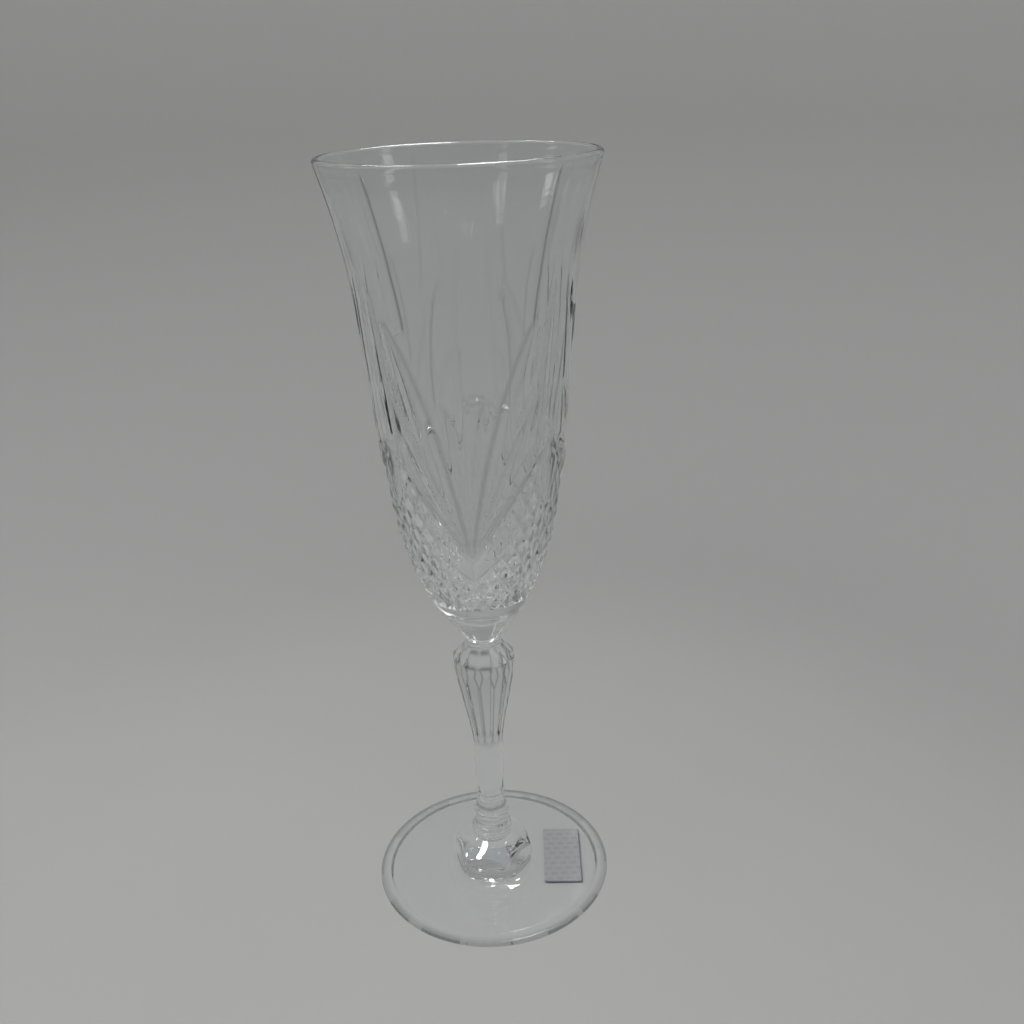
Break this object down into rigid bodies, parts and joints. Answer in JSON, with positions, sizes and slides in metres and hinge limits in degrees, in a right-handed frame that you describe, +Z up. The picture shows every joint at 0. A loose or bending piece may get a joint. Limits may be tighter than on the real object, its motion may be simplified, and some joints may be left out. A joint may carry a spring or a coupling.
{
  "type": "champagne flute",
  "caption": "Tall stemmed flute in clear pressed crystal, with fan and diamond cuts, a faceted stem and a round domed foot.",
  "frame": {"origin": "middle of the plane that the foot rests on", "axes": "+Z up along the glass's axis towards the lip; the middle of one fan faces -Y, and the label lies on the +X side of the foot"},
  "size_m": [0.0716, 0.0716, 0.216],
  "materials": {
    "crystal": "clear, fire-polished, faintly grey-green where it is thick",
    "label_paper": null
  },
  "bodies": {
    "root": {"bowl": "crystal", "stem": "crystal", "foot": "crystal", "label": "label_paper"}
  },
  "joints": []
}
